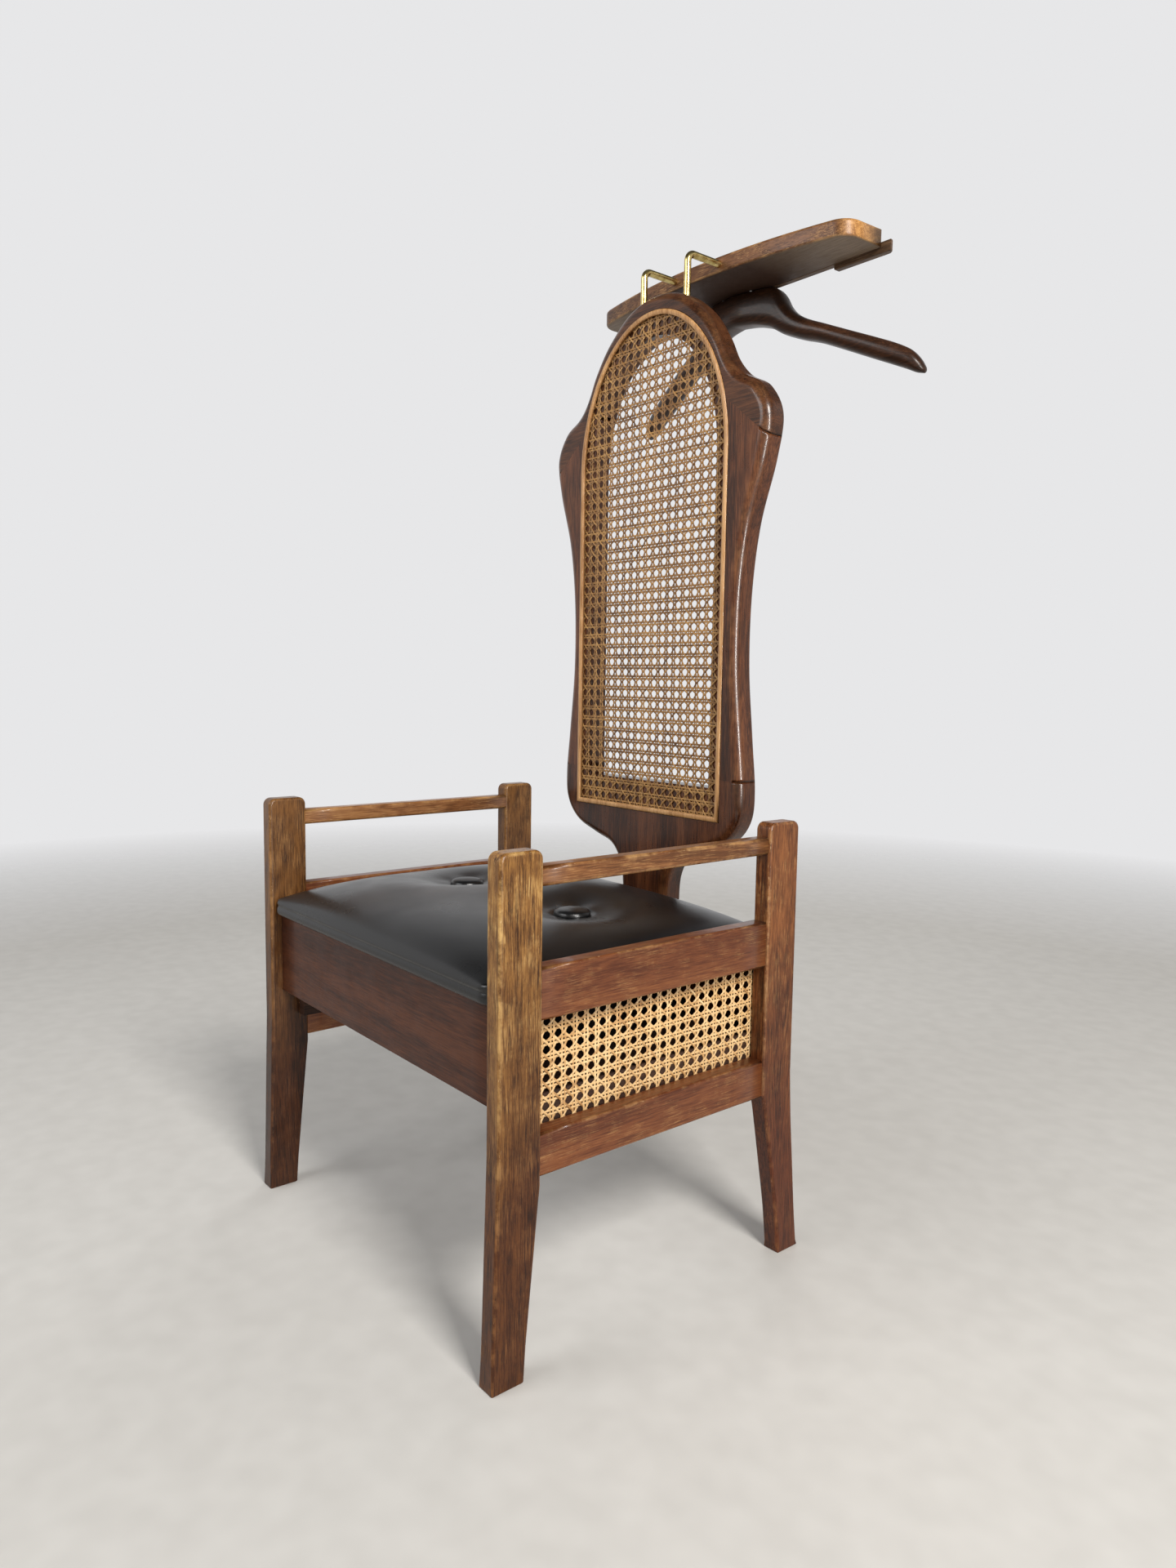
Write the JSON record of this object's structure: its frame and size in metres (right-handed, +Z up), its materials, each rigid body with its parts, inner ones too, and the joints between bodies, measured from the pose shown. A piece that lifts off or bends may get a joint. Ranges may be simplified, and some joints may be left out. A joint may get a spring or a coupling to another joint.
{
  "type": "valet stand",
  "caption": "Valet chair with a padded hinged box seat, caned sides and tall caned back, a rear tray on brass rods and a coat hanger.",
  "frame": {"origin": "on the floor, under the centre of the whole chair's bounding box", "axes": "+Z up, -Y the way the seat faces, +X to the right of someone looking at the front"},
  "size_m": [0.478, 0.594, 1.086],
  "materials": {
    "post_wood": "satin, walnut-stained beech, worn golden at the edges",
    "rail_wood": "satin, walnut-stained beech",
    "back_wood": "semi-gloss, dark reddish-brown stained beech",
    "tray_wood": "satin, lighter golden brown",
    "box_ply": "matt, dark stained plywood",
    "dowel_wood": "plain beech",
    "side_cane": "pale straw cane webbing",
    "back_cane": "golden brown cane webbing",
    "cane_bead": "satin rattan spline",
    "brass": "polished",
    "steel": "zinc plated",
    "leatherette": "smooth, soft sheen"
  },
  "bodies": {
    "frame": {"front_leg_left": "post_wood", "front_leg_right": "post_wood", "rear_leg_left": "post_wood", "rear_leg_right": "post_wood", "arm_rail_left": "rail_wood", "arm_rail_right": "rail_wood", "seat_rail_left": "rail_wood", "seat_rail_right": "rail_wood", "lower_rail_left": "rail_wood", "lower_rail_right": "rail_wood", "front_apron": "rail_wood", "rear_rail": "rail_wood", "bottom_panel": "box_ply", "side_cane_left": "side_cane", "side_cane_right": "side_cane", "cane_retainer_left": "box_ply", "cane_retainer_right": "box_ply", "rail_dowels": "dowel_wood", "back_crown": "back_wood", "back_stile_left": "back_wood", "back_stile_right": "back_wood", "back_base": "back_wood", "back_cane": "back_cane", "back_bead": "cane_bead", "stem_screws": "steel", "brass_rod_left": "brass", "brass_rod_right": "brass", "tray": "tray_wood", "tray_back_rail": "rail_wood", "coat_hanger": "back_wood", "hanger_screws": "steel", "hinge_frame_leaves": "brass", "hinge_frame_screws": "steel"},
    "lid": {"seat_board": "box_ply", "seat_cushion": "leatherette", "seat_buttons": "leatherette", "hinge_lid_leaves": "brass", "hinge_pins": "brass", "hinge_lid_screws": "steel"}
  },
  "joints": [
    {"name": "lid_hinge", "type": "hinge", "parent": "frame", "child": "lid", "pos_m": [0, 0.0558, 0.3238], "axis": [-1, 0, 0], "range_deg": [0, 55]}
  ]
}
